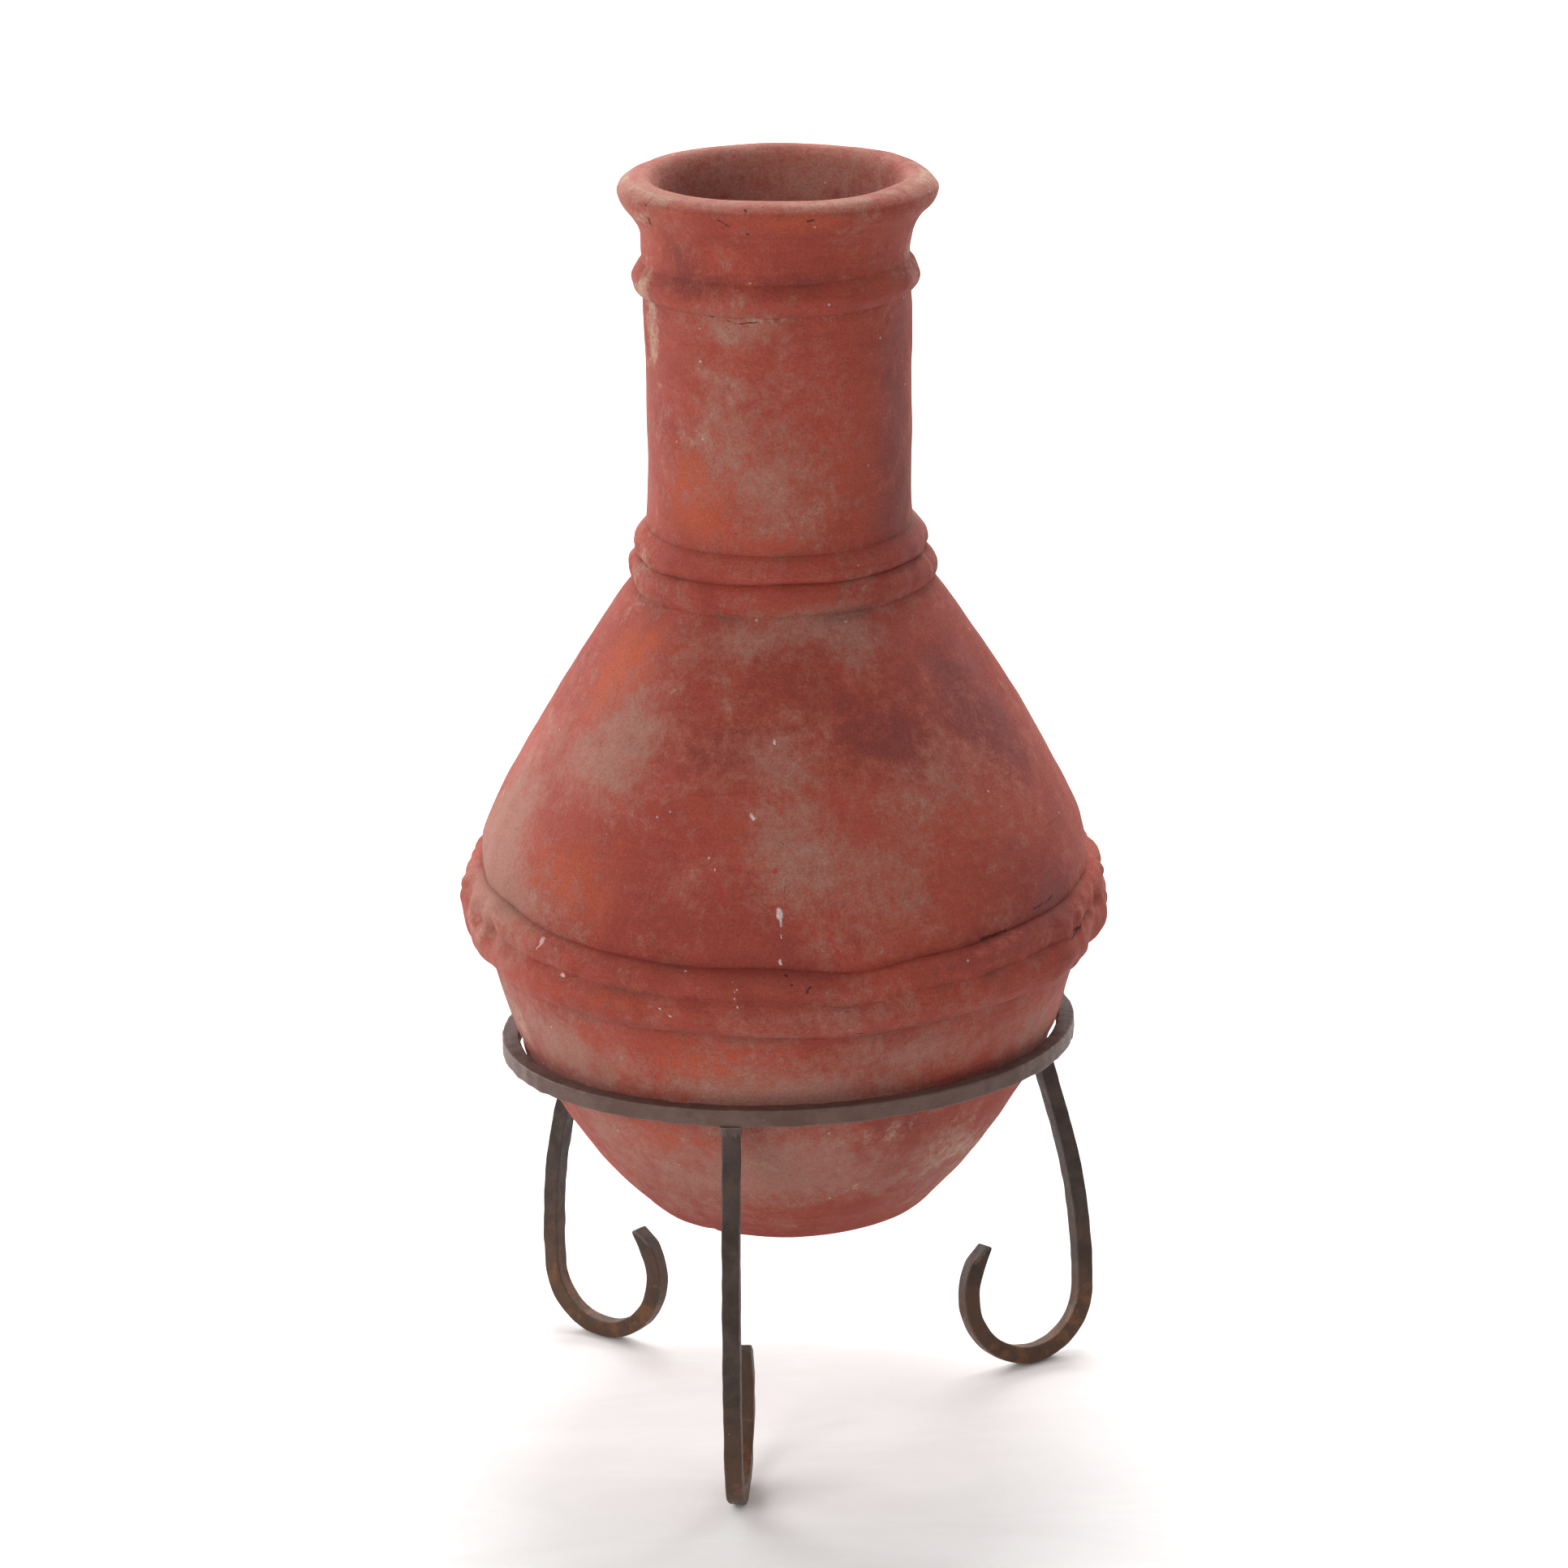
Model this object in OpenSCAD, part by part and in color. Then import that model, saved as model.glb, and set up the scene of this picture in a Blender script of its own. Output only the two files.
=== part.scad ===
// Clay chiminea that rests in an iron ring stand with three curled legs.
// Millimetres, +Z up. The origin is on the ground, on the pot's axis, and the fire mouth faces +Y.
// The clay pieces are formed apart and luted together while wet, so each is a ring or shell that
// meets its neighbours face to face.

/* [Pot] */
// Height of the flat base above the ground
base_z = 162; // [158:1:166]
// Thickness of the clay wall
wall = 14; // [11:1:15]
// Radius of the wall under the two rolls of the belly band
band_r = 205; // [203:1:207]
// How far the lower roll stands out from the wall
lower_roll = 17; // [13:1:18]
// How far the upper roll stands out from the wall
upper_roll = 13; // [10:1:15]

/* [Chimney] */
// Outside radius of the neck
neck_r = 88; // [86:1:90]
// Radius of the flue inside the neck
flue_r = 74; // [68:1:76]
// Outside radius of the rim
rim_r = 104.5; // [101:0.5:107]
// Height of the top of the rim above the ground
total_h = 880; // [876:1:900]

/* [Mouth] */
// Width of the fire mouth
mouth_w = 190; // [180:2:200]
// Height of the fire mouth
mouth_h = 140; // [130:2:140]
// Width of the clay lip round the fire mouth
lip_w = 16; // [10:1:18]
// How far that lip stands out from the wall
lip_t = 12; // [8:1:14]

/* [Sand] */
// Height of the top of the sand bed above the ground
sand_z = 288; // [250:1:300]

/* [Stand] */
// Side of the square bar
bar = 12; // [10:0.5:14]
// Inside radius of the ring
ring_r = 185.5; // [185.5:0.5:187.5]
// Height of the underside of the ring
ring_z = 276; // [272:0.5:276]
// Angle at which each leg splays out where it leaves the ring
splay = 10.3; // [9:0.1:11]
// Radius and turn of each leg's slow bend
shank_bend = [449, 16.4];
// Turn of the curl at each leg's foot
curl_turn = 224.5; // [210:0.5:235]

/* [Hidden] */

// Heights where the clay pieces meet
crease_z = 354;
seam_z = 380;
shoulder_z = 404;
collar_z = 603;
neck_z = 624;
collar_top_z = 650;
bead_z = [797, 822];
rim_z = 842;

// Bowl: the flat base, the bulge of its side, and where it sits in the ring
base_r = 102.7;
base_t = 18;
base_round = 12;
bulge = [150, 223];
seat = [186.6, 292.3];
slow = 180;

// Shoulder and collar
collar_r = 94;
shoulder_top_r = 99;
shoulder_bow = 13;
collar_roll = 8;
neck_roll = 7.5;

// Mouth: its lower edge, and the rounding of its lower and upper corners
mouth_z = 426;
mouth_low_round = mouth_h * 0.3;
mouth_high_round = mouth_h * 0.64;
reach = 260;

// Legs: place of the top on the ring, turn of the leg's plane and sideways lean, in degrees
// counted from -Y towards +X, and radius of the curl
leg_top = [-11.5, -131.9, 119.7];
leg_plane = [-4.7, -123.5, 118];
leg_lean = [-0.6, 5.3, -10.9];
curl_r = [49, 45, 47];
leg_r = ring_r + bar / 2;
shank_steps = 10;
curl_steps = 45;
tip_cut = [17, 22];
weld_h = 7;
butt_angle = 172;
butt_proud = 0.8;

clay = [0.66, 0.32, 0.24];
clay_dark = [0.56, 0.26, 0.20];
iron = [0.27, 0.23, 0.22];
sand = [0.72, 0.62, 0.46];

// Outline helpers. A point is [radius, height, rounding of that corner].
function unit(v) = v / norm(v);
function turned_by(v, a) = [v.x * cos(a) - v.y * sin(a), v.x * sin(a) + v.y * cos(a)];
function corner(a, b, c, r, n) =
    let (
        u = unit(a - b),
        v = unit(c - b),
        half = acos(u * v) / 2,
        centre = b + unit(u + v) * r / sin(half),
        start = b + u * r / tan(half) - centre,
        way = cross(u, v) > 0 ? -1 : 1
    )
    [for (i = [0:n]) centre + turned_by(start, way * (180 - 2 * half) * i / n)];
function flat2(p) = [p[0], p[1]];
function rounded(pts, n = 6) =
    let (last = len(pts) - 1)
    [
        for (i = [0:last])
            let (
                before = flat2(pts[i == 0 ? last : i - 1]),
                here = flat2(pts[i]),
                after = flat2(pts[i == last ? 0 : i + 1])
            )
            each (pts[i][2] > 0 ? corner(before, here, after, pts[i][2], n) : [here])
    ];

// Bowed line from a to b that stands out by sag to its right at the middle
function bowed(a, b, sag, n = 8) =
    let (side = [unit(b - a).y, -unit(b - a).x])
    [for (i = [0:n]) a + (b - a) * i / n + side * sag * 4 * (i / n) * (1 - i / n)];

// Half-round bead on a wall of radius r, from height a to height b
function bead(r, a, b, out, n = 12) =
    [for (i = [0:n]) [r + out * sin(180 * i / n), a + (b - a) * (1 - cos(180 * i / n)) / 2]];

module turned(outline) {
    rotate_extrude($fn = 96) polygon(outline);
}

// Bowl
bowl_hollow = rounded([
    [0, base_z + base_t, 0], [base_r - wall * 0.7, base_z + base_t, 20],
    [bulge.x - wall * 1.1, bulge.y + 4, slow], [seat.x - wall * 1.1, seat.y, 40],
    [band_r - wall, crease_z, 0], [band_r - wall, seam_z, 0], [0, seam_z, 0]
]);
bowl_outside = rounded([
    [0, base_z, 0], [base_r, base_z, base_round], [bulge.x, bulge.y, slow], [seat.x, seat.y, 40],
    [band_r, crease_z, 0], [band_r, seam_z, 0], [0, seam_z, 0]
]);

module lower_bowl() {
    color(clay) difference() {
        turned(bowl_outside);
        turned(bowl_hollow);
    }
}

module belly_roll_lower() {
    color(clay_dark) turned(bead(band_r, crease_z, seam_z, lower_roll));
}

module belly_roll_upper() {
    color(clay_dark) turned(bead(band_r, seam_z, shoulder_z, upper_roll));
}

// Upper body, from the belly band to the collar
shoulder_line = bowed([band_r, shoulder_z], [shoulder_top_r, collar_z], shoulder_bow);
shoulder_inside = bowed([band_r - wall, shoulder_z - 8], [flue_r, neck_z - 6], shoulder_bow);
function reversed(list) = [for (i = [len(list) - 1:-1:0]) list[i]];

function mouth_outline(grow) = rounded([
    [-mouth_w / 2 - grow, mouth_z - grow, mouth_low_round + grow],
    [mouth_w / 2 + grow, mouth_z - grow, mouth_low_round + grow],
    [mouth_w / 2 + grow, mouth_z + mouth_h + grow, mouth_high_round + grow],
    [-mouth_w / 2 - grow, mouth_z + mouth_h + grow, mouth_high_round + grow]
]);

module mouth_prism(grow) {
    translate([0, reach, 0]) rotate([90, 0, 0]) linear_extrude(reach) polygon(mouth_outline(grow));
}

module upper_body() {
    color(clay) difference() {
        turned(concat(
            [[band_r, seam_z]], shoulder_line, [[collar_r, collar_z], [collar_r, neck_z], [flue_r, neck_z]],
            reversed(shoulder_inside), [[band_r - wall, seam_z]]
        ));
        mouth_prism(0);
    }
}

// Lip round the mouth: it lies on the shoulder and follows it
module mouth_lip() {
    out = unit([collar_z - shoulder_z, band_r - shoulder_top_r]) * lip_t;
    color(clay_dark) intersection() {
        difference() {
            mouth_prism(lip_w);
            mouth_prism(0);
        }
        turned(concat(shoulder_line, reversed([for (p = shoulder_line) p + out])));
    }
}

// Collar and neck
module collar_bead_lower() {
    color(clay_dark) turned(bead(collar_r, collar_z, neck_z, collar_roll));
}

module collar_bead_upper() {
    color(clay_dark) turned(bead(neck_r, neck_z, collar_top_z, collar_roll + 0.6));
}

module chimney_neck() {
    color(clay) translate([0, 0, neck_z]) difference() {
        cylinder(h = rim_z - neck_z, r = neck_r, $fn = 96);
        translate([0, 0, -1]) cylinder(h = rim_z - neck_z + 2, r = flue_r, $fn = 96);
    }
}

module neck_bead() {
    color(clay_dark) turned(bead(neck_r, bead_z[0], bead_z[1], neck_roll));
}

module rim_lip() {
    color(clay) turned(rounded([
        [flue_r, rim_z, 0], [neck_r, rim_z, 0], [rim_r, rim_z + 20, 12], [rim_r, total_h, 8],
        [rim_r - 18, total_h, 5], [flue_r, rim_z + 8, 8]
    ]));
}

module sand_bed() {
    color(sand) intersection() {
        turned(bowl_hollow);
        cylinder(h = sand_z, r = band_r, $fn = 96);
    }
}

// Stand
module support_ring() {
    color(iron) translate([0, 0, ring_z]) rotate_extrude($fn = 96)
        translate([ring_r, 0]) square(bar);
}

// Weld that closes the ring, proud on the outside and underneath only
module ring_butt_weld() {
    outer = ring_r + bar;
    color(iron) translate([0, 0, ring_z]) rotate([0, 0, butt_angle - 90])
        rotate_extrude(angle = 2, $fn = 96) polygon([
            [ring_r, -butt_proud], [outer + butt_proud, -butt_proud], [outer + butt_proud, bar],
            [outer, bar], [outer, 0], [ring_r, 0]
        ]);
}

// Length of the straight shank that brings a leg's curl down to the ground
function shank(lean, curl) =
    let (
        contact = bar / 2 * (cos(lean) + abs(sin(lean))),
        end = splay - shank_bend[1],
        bends = shank_bend[0] * (sin(splay) - sin(end)) + curl * (1 + sin(end))
    )
    ((ring_z - contact) / cos(lean) - bends) / cos(splay);

// Middle line of a leg in its own plane: x outward, z, lean of the bar, and room on its outer side,
// which the bevel of the tip takes away
function leg_line(lean, curl) =
    let (
        length = shank(lean, curl),
        end = splay - shank_bend[1],
        knee = length * [sin(splay), -cos(splay)],
        ankle = knee + bent(shank_bend[0], splay, end)
    )
    concat(
        [[-bar * sin(splay), bar * cos(splay), splay, bar / 2]],
        [for (k = [0:shank_steps]) let (a = splay - shank_bend[1] * k / shank_steps)
            [each knee + bent(shank_bend[0], splay, a), a, bar / 2]],
        [for (k = [1:curl_steps]) let (left = curl_turn * (1 - k / curl_steps), a = end - curl_turn + left)
            [each ankle + bent(curl, end, a), a, bar / 2 - tip_loss(curl * left * PI / 180)]]
    );

// Step along an arc of a leg from one lean of the bar to another
function bent(radius, from, to) = radius * [cos(to) - cos(from), sin(to) - sin(from)];

// Thickness that the bevel takes from the outer side, at a distance from the tip
function tip_loss(distance) = max(0, tip_cut.x - distance) * tan(tip_cut.y);

module at_leg(i) {
    translate([leg_r * sin(leg_top[i]), -leg_r * cos(leg_top[i]), ring_z])
        rotate([0, 0, leg_plane[i] - 90]) children();
}

module leg(i) {
    line = leg_line(leg_lean[i], curl_r[i]);
    last = len(line) - 1;
    outer = [for (p = line) [p[0] + p[3] * cos(p[2]), p[1] + p[3] * sin(p[2])]];
    inner = [for (k = [last:-1:0]) let (p = line[k]) [p[0], p[1]] - bar / 2 * [cos(p[2]), sin(p[2])]];
    color(iron) difference() {
        at_leg(i) rotate([leg_lean[i] + 90, 0, 0])
            linear_extrude(height = bar, center = true) polygon(concat(outer, inner));
        translate([0, 0, ring_z]) cylinder(h = 3 * bar, r = 2 * ring_r, $fn = 96);
    }
}

// Fillet weld round the top of a leg, under the ring
module leg_weld(i) {
    color(iron) difference() {
        at_leg(i) translate([0, 0, -weld_h]) cylinder(h = weld_h, r1 = bar * 0.6, r2 = bar * 0.79, $fn = 48);
        leg(i);
    }
}

module leg_front() { leg(0); }
module leg_left() { leg(1); }
module leg_right() { leg(2); }
module weld_front() { leg_weld(0); }
module weld_left() { leg_weld(1); }
module weld_right() { leg_weld(2); }

lower_bowl();
belly_roll_lower();
belly_roll_upper();
upper_body();
mouth_lip();
collar_bead_lower();
collar_bead_upper();
chimney_neck();
neck_bead();
rim_lip();
sand_bed();
support_ring();
ring_butt_weld();
leg_front();
leg_left();
leg_right();
weld_front();
weld_left();
weld_right();
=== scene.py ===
"""Looks of the clay chiminea: every clay piece, the sand and the iron stand are rebuilt in detail
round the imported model. Shapes are worked out in millimetres and made in metres, +Z up, with the
ground at z = 0 and the fire mouth towards +Y. Places round the pot are given in degrees from -Y,
the side that faces the camera, towards +X."""
import math

import bmesh
import bpy
import numpy as np
from mathutils import Matrix, Vector


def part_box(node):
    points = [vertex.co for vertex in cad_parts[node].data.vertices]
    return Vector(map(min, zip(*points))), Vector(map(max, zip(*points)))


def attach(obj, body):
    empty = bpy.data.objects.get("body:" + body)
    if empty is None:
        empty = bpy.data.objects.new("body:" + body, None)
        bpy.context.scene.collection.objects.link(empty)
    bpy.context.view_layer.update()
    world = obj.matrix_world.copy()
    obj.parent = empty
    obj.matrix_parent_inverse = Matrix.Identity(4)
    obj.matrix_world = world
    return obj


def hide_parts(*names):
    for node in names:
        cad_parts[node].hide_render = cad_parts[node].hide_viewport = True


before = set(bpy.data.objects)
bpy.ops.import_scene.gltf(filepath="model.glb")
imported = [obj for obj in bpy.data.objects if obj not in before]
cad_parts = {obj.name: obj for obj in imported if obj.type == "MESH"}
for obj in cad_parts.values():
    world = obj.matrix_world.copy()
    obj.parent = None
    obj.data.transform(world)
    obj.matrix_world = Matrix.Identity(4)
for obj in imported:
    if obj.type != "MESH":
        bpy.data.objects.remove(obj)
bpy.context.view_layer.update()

MM = 0.001
TURNS = 384   # facets round a turned piece
STEP = 2.4    # spacing of rows up a turned piece


# ---------------------------------------------------------------- heights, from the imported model
def low(node):
    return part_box(node)[0].z / MM


def high(node):
    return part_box(node)[1].z / MM


BASE = low("lower_bowl")
RING_LOW = low("support_ring")
RING_TOP = high("support_ring")
CREASE = low("belly_roll_lower")
SEAM = high("belly_roll_lower")
SHOULDER = high("belly_roll_upper")
COLLAR = low("collar_bead_lower")
NECK = low("chimney_neck")
RIM = low("rim_lip")
TOP = high("rim_lip")
SAND = high("sand_bed")
FLUE = 74            # radius of the flue
MOUTH_MIDDLE = 566   # height of the middle of the fire mouth
BAR = RING_TOP - RING_LOW
RING_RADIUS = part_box("support_ring")[1].x / MM - BAR


# ---------------------------------------------------------------- outlines
def smooth(edge0, edge1, x):
    t = np.clip((x - edge0) / (edge1 - edge0), 0.0, 1.0)
    return t * t * (3 - 2 * t)


def curve(points, step=STEP):
    """A smooth (Catmull-Rom) line through the points, resampled at an even spacing."""
    p = np.array(points, float)
    ends = np.vstack([2 * p[0] - p[1], p, 2 * p[-1] - p[-2]])
    t = np.linspace(0, 1, 24, endpoint=False)[:, None]
    parts = []
    for a, b, c, d in zip(ends[:-3], ends[1:-2], ends[2:-1], ends[3:]):
        parts.append(0.5 * (2 * b + (c - a) * t + (2 * a - 5 * b + 4 * c - d) * t**2
                            + (3 * b - a - 3 * c + d) * t**3))
    return even(np.vstack(parts + [p[-1:]]), step)


def even(points, step):
    """The line through the points with new points at an even spacing."""
    points = np.array(points, float)
    run = np.concatenate([[0], np.cumsum(np.linalg.norm(np.diff(points, axis=0), axis=1))])
    at = np.linspace(0, run[-1], max(2, int(round(run[-1] / step)) + 1))
    return np.column_stack([np.interp(at, run, points[:, k]) for k in range(points.shape[1])])


def straight(points, step=6.0):
    """A line that keeps its corners, with points between them."""
    parts = [even([a, b], step)[:-1] for a, b in zip(points[:-1], points[1:])]
    return np.vstack(parts + [np.array(points[-1:], float)])


# Each outline is a list of (radius, height) up the outside of the pot
BOWL_SIDE = [
    (93, BASE), (99, BASE + 1.2), (104, BASE + 5.5), (108.5, BASE + 11), (124.4, BASE + 29),
    (148.2, BASE + 60), (160.8, BASE + 79), (175.6, BASE + 108), (184, RING_TOP),
    (188.6, RING_TOP + 9), (195.2, RING_TOP + 31), (204.8, CREASE)]
LOWER_ROLL = [
    (204.8, CREASE), (213, CREASE + 1.8), (219.4, CREASE + 7), (221.4, CREASE + 14),
    (220, CREASE + 21), (217, SEAM)]
UPPER_ROLL = [
    (217, SEAM), (218.2, SEAM + 3.8), (218, SEAM + 9.5), (214.6, SEAM + 15), (210, SEAM + 17.8),
    (206.6, SEAM + 18.6)]
SHOULDER_SIDE = [
    (206.6, SEAM + 18.6), (206, SEAM + 30), (204, SEAM + 42), (189.4, SEAM + 79), (158, SEAM + 136),
    (122, SEAM + 193), (99.6, COLLAR + 1)]
COLLAR_LOW = [
    (99.6, COLLAR + 1), (101.8, COLLAR + 5.5), (102.2, COLLAR + 11), (100, COLLAR + 17.5),
    (95.4, NECK + 1)]
COLLAR_HIGH = [
    (95.4, NECK + 1), (97.9, NECK + 5), (97.4, NECK + 10.5), (93.6, NECK + 16.5), (88.9, NECK + 20)]
NECK_SIDE = [
    (88, NECK + 2), (88.4, NECK + 14), (88.9, NECK + 20), (87.8, NECK + 60), (87.7, NECK + 110),
    (88.4, RIM - 38.5), (88.2, RIM - 28), (88.4, RIM - 18), (88.6, RIM - 7), (89.2, RIM)]
THIN_BEAD = [
    (87.6, RIM - 40), (91.8, RIM - 38.2), (94.8, RIM - 33), (94.6, RIM - 27.5), (91.6, RIM - 21.5),
    (87.4, RIM - 17)]
RIM_SIDE = [
    (89.2, RIM), (91.2, RIM + 6), (95.4, RIM + 12.5), (100.6, RIM + 18.4), (103.4, RIM + 23.5),
    (104.6, RIM + 28.5), (103, TOP - 6.4), (98.6, TOP - 3), (92.4, TOP - 1.6), (87, TOP - 2),
    (83, TOP - 5.4), (79.8, TOP - 12.6), (76.2, TOP - 27), (FLUE + 0.4, RIM)]
OUTSIDE = np.array(BOWL_SIDE + LOWER_ROLL[1:] + UPPER_ROLL[1:] + SHOULDER_SIDE[1:] + COLLAR_LOW[1:]
                   + COLLAR_HIGH[1:] + NECK_SIDE[3:] + RIM_SIDE[1:7])


def outer_radius(z):
    return np.interp(z, OUTSIDE[:, 1], OUTSIDE[:, 0])


# ---------------------------------------------------------------- the potter's hand
class Waves:
    """A smooth random field in space: many plane waves of about one size, repeatable by its seed."""

    def __init__(self, size, seed, count=26):
        rng = np.random.default_rng(seed)
        way = rng.normal(size=(count, 3))
        way /= np.linalg.norm(way, axis=1)[:, None]
        self.k = way * (2 * math.pi / (size * rng.uniform(0.7, 1.4, count)))[:, None]
        self.phase = rng.uniform(0, 2 * math.pi, count)
        self.gain = math.sqrt(2 / count)

    def __call__(self, p):
        out = np.zeros(len(p))
        for k, phase in zip(self.k, self.phase):
            out += np.cos(p @ k + phase)
        return out * self.gain


BULK = Waves(230, 3)
LUMP = Waves(78, 5)
KNOB = Waves(27, 7)
GRIT = Waves(9, 11)


def around(p):
    """Degrees round the pot from the camera side, towards +X."""
    return np.degrees(np.arctan2(p[:, 0], -p[:, 1]))


def at(angle, radius, z):
    a = math.radians(angle)
    return np.array([radius * math.sin(a), -radius * math.cos(a), z])


def on_pot(angle, z):
    """The point of the pot's outside at that place round it and that height."""
    return at(angle, float(outer_radius(z)), z)


# Chips, thumb dents and (where the depth is negative) swellings in the clay: degrees round,
# height, width, depth
DENTS = [
    (76, RIM + 10, 5, 3.0), (-119, TOP - 1, 5, 2.6), (-32, BASE + 2, 3.5, 2.2),
    (-56, RIM + 19, 7, 1.3), (28, TOP - 3, 9, 0.9), (-20, TOP - 2, 11, 0.8), (150, TOP - 2, 8, 1.4),
    (55, SEAM + 12, 9, 2.4), (63, SEAM + 2, 7, 2.2), (72, CREASE + 12, 8, 2.0),
    (-64, SEAM + 1, 6, 1.8), (-75, CREASE + 15, 9, 1.8), (40, CREASE + 16, 7, 1.4),
    (2, SEAM + 9, 4, 1.3), (84, NECK + 2, 7, 1.5), (-80, COLLAR + 9, 8, 1.3),
    (74, RIM - 25, 7, 1.4), (-70, RIM - 24, 8, 1.2), (118, SEAM + 6, 12, 2.0),
    (-140, CREASE + 10, 12, 2.0), (90, COLLAR + 6, 26, -2.6), (90, COLLAR - 24, 30, -2.2),
    (90, 530, 70, -1.8), (90, SEAM + 8, 24, 2.2), (90, CREASE + 2, 18, 1.6),
    (-90, CREASE + 1, 14, 2.0), (-90, RIM - 28, 16, 1.4)]


def off_axis(z):
    """How far the pot's axis wanders to the left at each height."""
    heights = [BASE, RING_TOP, SHOULDER, COLLAR, RIM - 12, RIM + 20]
    return -np.interp(z, heights, [2.9, 1.9, 1.8, 0.2, 0.0, -2.2])


def band_rise(angle, z):
    """The two rolls of the belly climb from the front to the sides, more so on the left."""
    turn = np.sin(np.radians(angle))
    rise = (8 - 2 * turn) * turn**2
    return rise * smooth(CREASE - 3, CREASE + 15, z) * (1 - smooth(SHOULDER + 4, SHOULDER + 76, z))


def by_hand(p):
    """Bends true turned points into the uneven shape of the hand-made pot."""
    x, y, z = p.T
    radius = np.hypot(x, y)
    angle = around(p)
    free = np.clip(radius / 60, 0, 1) * (1 - 0.85 * np.exp(-((z - RING_TOP) / 22) ** 2))
    swell = (0.8 * BULK(p) + 0.5 * LUMP(p) + 0.16 * KNOB(p)) * free
    wall = np.interp(z, [CREASE, SHOULDER, COLLAR, NECK + 20, RIM], [205, 206, 97, 88, 88])
    rolls = np.exp(-((z - SEAM) / 26) ** 2) + 0.45 * np.exp(-((z - NECK) / 24) ** 2)
    rolls = smooth(2, 8, radius - wall) * (rolls + 0.35 * np.exp(-((z - RIM + 30) / 12) ** 2))
    rough = 0.75 + 0.9 * smooth(35, 75, angle) + 0.6 * smooth(40, 80, -angle)
    pressed = 0.7 * KNOB(p * 0.8 + 31) + 0.5 * GRIT(p * 0.55) + 0.7 * LUMP(p * 1.1 + 17)
    swell += rolls * rough * pressed
    for where, height, width, depth in DENTS:
        gap = np.linalg.norm(p - on_pot(where, height), axis=1)
        swell -= depth * np.exp(-(gap / width) ** 2)
    # the bowl's sides fill the ring that holds it
    held = 7 * np.exp(-((angle + 92) / 24) ** 2) + 3.5 * np.exp(-((angle - 92) / 24) ** 2)
    held *= np.exp(-((z - RING_LOW + 8) / 14) ** 2)
    swell += held * smooth(-9, -4, radius - outer_radius(z))
    grown = radius + swell
    wander = 0.5 * LUMP(p * 0.8) * free * smooth(BASE + 4, BASE + 60, z)
    by_rolls = np.exp(-((z - SEAM) / 30) ** 2) + 0.6 * np.exp(-((z - NECK) / 26) ** 2)
    wander += 1.1 * KNOB(p * 0.33 + 9) * by_rolls
    turn = np.arctan2(y, x)
    lean = -0.004 * x * smooth(RIM - 60, TOP, z)
    lifted = z + band_rise(angle, z) + wander + lean
    return np.column_stack([grown * np.cos(turn) + off_axis(z), grown * np.sin(turn), lifted])


# ---------------------------------------------------------------- meshes
def make_object(name, points, faces, material, flat_faces=()):
    mesh = bpy.data.meshes.new(name)
    mesh.from_pydata((np.array(points) * MM).tolist(), [], faces)
    mesh.polygons.foreach_set("use_smooth", [i not in flat_faces for i in range(len(faces))])
    mesh.validate()
    piece = bpy.data.objects.new(name, mesh)
    bpy.context.scene.collection.objects.link(piece)
    piece.data.materials.append(material)
    return piece


def settle(piece, body, slot, *nodes):
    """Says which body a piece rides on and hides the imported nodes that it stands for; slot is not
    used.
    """
    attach(piece, body)
    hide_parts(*nodes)


def lathe(outline, turns=TURNS):
    """Points and faces of an outline turned about the axis. An outline that starts and ends on the
    axis makes a solid vessel; any other is closed into a ring."""
    outline = np.array(outline, float)
    poled = outline[0, 0] < 1e-6
    rows = outline[1:-1] if poled else outline
    turn = np.linspace(0, 2 * math.pi, turns, endpoint=False)
    x = rows[:, 0][:, None] * np.sin(turn)
    y = -rows[:, 0][:, None] * np.cos(turn)
    z = np.repeat(rows[:, 1][:, None], turns, 1)
    points = np.stack([x, y, z], -1).reshape(-1, 3)
    count = len(rows)
    faces = []
    for i in range(count - 1 if poled else count):
        a, b = i * turns, (i + 1) % count * turns
        for j in range(turns):
            k = (j + 1) % turns
            faces.append((a + j, a + k, b + k, b + j))
    if poled:
        last = (count - 1) * turns
        points = np.vstack([points, [[0, 0, outline[0, 1]], [0, 0, outline[-1, 1]]]])
        for j in range(turns):
            k = (j + 1) % turns
            faces.append((len(points) - 2, k, j))
            faces.append((last + j, last + k, len(points) - 1))
    return points, faces


def sweep(sections, closed=False):
    """Points and faces of a skin over equal rings of points, open rows being capped flat."""
    rows, size = len(sections), len(sections[0])
    points = np.vstack(sections)
    faces = []
    for i in range(rows if closed else rows - 1):
        a, b = i * size, (i + 1) % rows * size
        for j in range(size):
            k = (j + 1) % size
            faces.append((a + j, a + k, b + k, b + j))
    caps = ()
    if not closed:
        caps = (len(faces), len(faces) + 1)
        faces.append(tuple(range(size))[::-1])
        faces.append(tuple((rows - 1) * size + j for j in range(size)))
    return points, faces, caps


def outward(piece):
    """Turns the faces of a closed mesh outward, and keeps its corners from being shaded round."""
    bm = bmesh.new()
    bm.from_mesh(piece.data)
    bmesh.ops.recalc_face_normals(bm, faces=bm.faces)
    bm.to_mesh(piece.data)
    bm.free()
    piece.data.set_sharp_from_angle(angle=math.radians(50))


def bend_by_hand(piece):
    mesh = piece.data
    co = np.zeros(len(mesh.vertices) * 3)
    mesh.vertices.foreach_get("co", co)
    mesh.vertices.foreach_set("co", (by_hand(co.reshape(-1, 3) / MM) * MM).ravel())
    mesh.update()
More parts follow.
